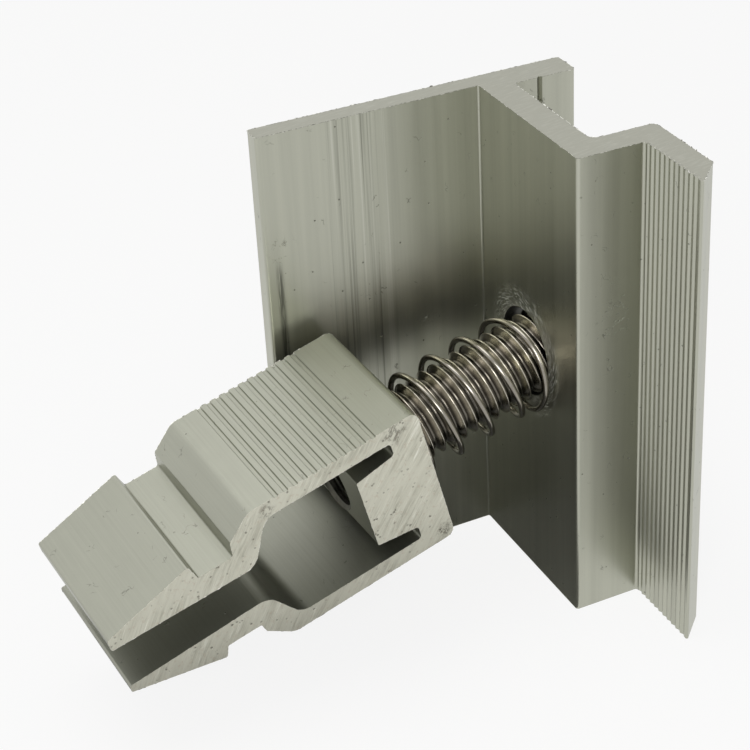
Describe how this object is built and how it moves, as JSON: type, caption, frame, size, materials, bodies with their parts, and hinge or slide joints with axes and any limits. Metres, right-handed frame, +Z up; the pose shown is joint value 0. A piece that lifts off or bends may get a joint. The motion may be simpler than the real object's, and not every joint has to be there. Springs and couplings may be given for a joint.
{
  "type": "solar end clamp",
  "caption": "Extruded aluminium end clamp that holds the edge of a module frame on a rail, with cap screw, spring and click-in rail nut.",
  "frame": {"origin": "the corner where the leg's front plane meets the web's underside, on the sawn end that the clamp stands on", "axes": "+Z up along the extrusion from the sawn end it stands on; +X from the leg's foot towards the screw's head, which is up when fitted on a rail; +Y from the lip towards the leg"},
  "size_m": [0.0631, 0.0299, 0.05],
  "materials": {
    "clamp_aluminium": "satin mill finish, with extrusion lines",
    "nut_aluminium": "satin mill finish, with sawn end faces",
    "screw_steel": "bright stainless steel, rolled thread",
    "spring_steel": "bright drawn stainless wire"
  },
  "bodies": {
    "clamp": {"end_clamp": "clamp_aluminium"},
    "spring": {"compression_spring": "spring_steel"},
    "screw": {"clamp_screw": "screw_steel"},
    "nut": {"rail_nut": "nut_aluminium"}
  },
  "joints": [
    {"name": "screw_tilt", "type": "hinge", "parent": "clamp", "child": "spring", "pos_m": [0.00155, -0.00849, 0.025], "axis": [0, 1, 0], "range_deg": [0, 29], "deforming": ["compression_spring"]},
    {"name": "screw_turn", "type": "hinge", "parent": "spring", "child": "screw", "pos_m": [0, -0.00858, 0.02459], "axis": [-0.9659, -0.0561, -0.2529], "range_deg": [0, 2880]},
    {"name": "nut_travel", "type": "slide", "parent": "spring", "child": "nut", "axis": [0.9659, 0.0561, 0.2529], "range_m": [0, 0.01], "deforming": ["compression_spring"]}
  ],
  "couplings": [
    {"joint": "nut_travel", "follows": "screw_turn", "m_per_rad": 0.00019894}
  ]
}
